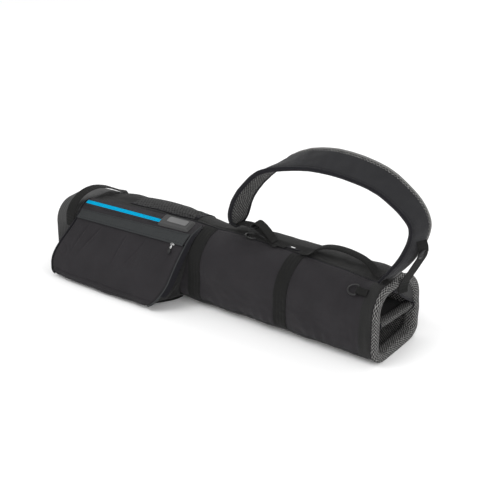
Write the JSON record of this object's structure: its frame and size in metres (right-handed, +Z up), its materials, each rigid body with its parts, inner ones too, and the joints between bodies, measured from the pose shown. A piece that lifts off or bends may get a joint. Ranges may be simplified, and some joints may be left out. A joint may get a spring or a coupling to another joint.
{
  "type": "golf carry bag",
  "caption": "Soft carry bag lying on its side, with a padded divided mouth, ribbed base cup, zipped pocket, carry handles and a padded shoulder strap.",
  "frame": {"origin": "the point of the floor panel underside that rests on the floor, half way along the bag and half way across it", "axes": "+X along the bag towards its mouth, +Y from the pocket side to the mesh pocket side, +Z up with the bag lying down"},
  "size_m": [0.9267, 0.2594, 0.4189],
  "materials": {
    "front_fabric": "woven polyester, matte",
    "dark_fabric": "plain woven polyester, matte",
    "webbing": "flat woven nylon webbing",
    "binding": "folded grosgrain binding, slight sheen",
    "strap_fabric": "smooth knitted face over foam, slight sheen",
    "mesh": "padded spacer mesh",
    "grosgrain": "ribbed grosgrain",
    "blue_tape": "woven zip tape, bright blue",
    "rubber": "moulded soft rubber",
    "plate": "satin plastic plate",
    "plastic": "moulded acetal, satin",
    "base_plastic": "ribbed moulded plastic, matte",
    "nickel": "nickel-plated zip slider",
    "black_wire": "black coated steel wire"
  },
  "bodies": {
    "bag": {"base_cup": "base_plastic", "front_panel": "front_fabric", "spine_panel": "dark_fabric", "back_panel": "dark_fabric", "floor_panel": "dark_fabric", "upper_piping": "binding", "back_piping": "binding", "lower_piping": "binding", "front_band_left": "webbing", "front_band_centre": "webbing", "mouth_roll": "mesh", "mouth_hoop": "plastic", "tube_lining": "mesh", "divider_bar": "mesh", "divider_sheet": "dark_fabric", "divider_tab_front": "binding", "divider_tab_back": "binding", "corner_web": "mesh", "corner_binding": "binding", "spine_stay": "plastic", "pocket_yoke": "front_fabric", "lower_zip_tape": "binding", "pocket_main_panel": "front_fabric", "storm_flap": "grosgrain", "upper_zip_tape": "blue_tape", "pocket_gusset_left": "dark_fabric", "pocket_gusset_right": "dark_fabric", "pocket_edge_strip": "grosgrain", "pocket_floor": "dark_fabric", "pocket_piping_left": "binding", "pocket_piping_right": "binding", "badge_patch": "rubber", "badge_plate": "plate", "mesh_pocket": "mesh", "mesh_pocket_hem": "binding", "left_anchor_webbing": "webbing", "strap_foot": "strap_fabric", "lifter_anchor": "webbing", "grab_handle_foot_1": "webbing", "grab_handle_foot_2": "webbing", "base_handle_foot_1": "webbing", "base_handle_foot_2": "webbing", "d_ring_tab": "webbing", "hook_tab": "webbing", "label_tab": "binding"},
    "strap": {"strap_pad": "strap_fabric", "strap_mesh": "mesh", "left_strap_webbing": "webbing", "left_slide_buckle": "plastic", "left_webbing_tail": "webbing", "lifter_strap_webbing": "webbing", "lifter_buckle": "plastic", "lifter_webbing": "webbing"},
    "grab_handle": {"grab_handle": "webbing"},
    "base_handle": {"base_handle": "webbing"},
    "d_ring": {"d_ring": "black_wire"},
    "wire_hook": {"wire_hook": "black_wire"},
    "lower_slider": {"lower_zip_slider": "nickel"},
    "lower_pull": {"lower_zip_pull": "plastic"},
    "upper_slider": {"upper_zip_slider": "nickel"}
  },
  "joints": [
    {"name": "strap_swing", "type": "hinge", "parent": "bag", "child": "strap", "pos_m": [0.42, -0.016, 0.177], "axis": [1, 0, 0], "range_deg": [-45, 45]},
    {"name": "grab_handle_fold", "type": "hinge", "parent": "bag", "child": "grab_handle", "pos_m": [0.306, -0.01, 0.174], "axis": [1, 0, 0], "range_deg": [-45, 45]},
    {"name": "base_handle_fold", "type": "hinge", "parent": "bag", "child": "base_handle", "pos_m": [-0.384, -0.096, 0.13], "axis": [0.3389, 0.9128, 0.2279], "range_deg": [-30, 30]},
    {"name": "d_ring_lift", "type": "hinge", "parent": "bag", "child": "d_ring", "pos_m": [0.37568, -0.0693, 0.16013], "axis": [-0.0243, 0.7899, 0.6127], "range_deg": [0, 150]},
    {"name": "wire_hook_lift", "type": "hinge", "parent": "bag", "child": "wire_hook", "pos_m": [0.115, -0.019, 0.1775], "axis": [0, 1, 0], "range_deg": [0, 20]},
    {"name": "lower_zip_slide", "type": "slide", "parent": "bag", "child": "lower_slider", "axis": [-0.9992, -0.0251, -0.0296], "range_m": [0, 0.262]},
    {"name": "lower_pull_lift", "type": "hinge", "parent": "lower_slider", "child": "lower_pull", "pos_m": [-0.088, -0.0932, 0.1403], "axis": [-1, 0, 0], "range_deg": [0, 105]},
    {"name": "upper_zip_slide", "type": "slide", "parent": "bag", "child": "upper_slider", "axis": [-0.9991, -0.0364, -0.0199], "range_m": [0, 0.24]}
  ]
}
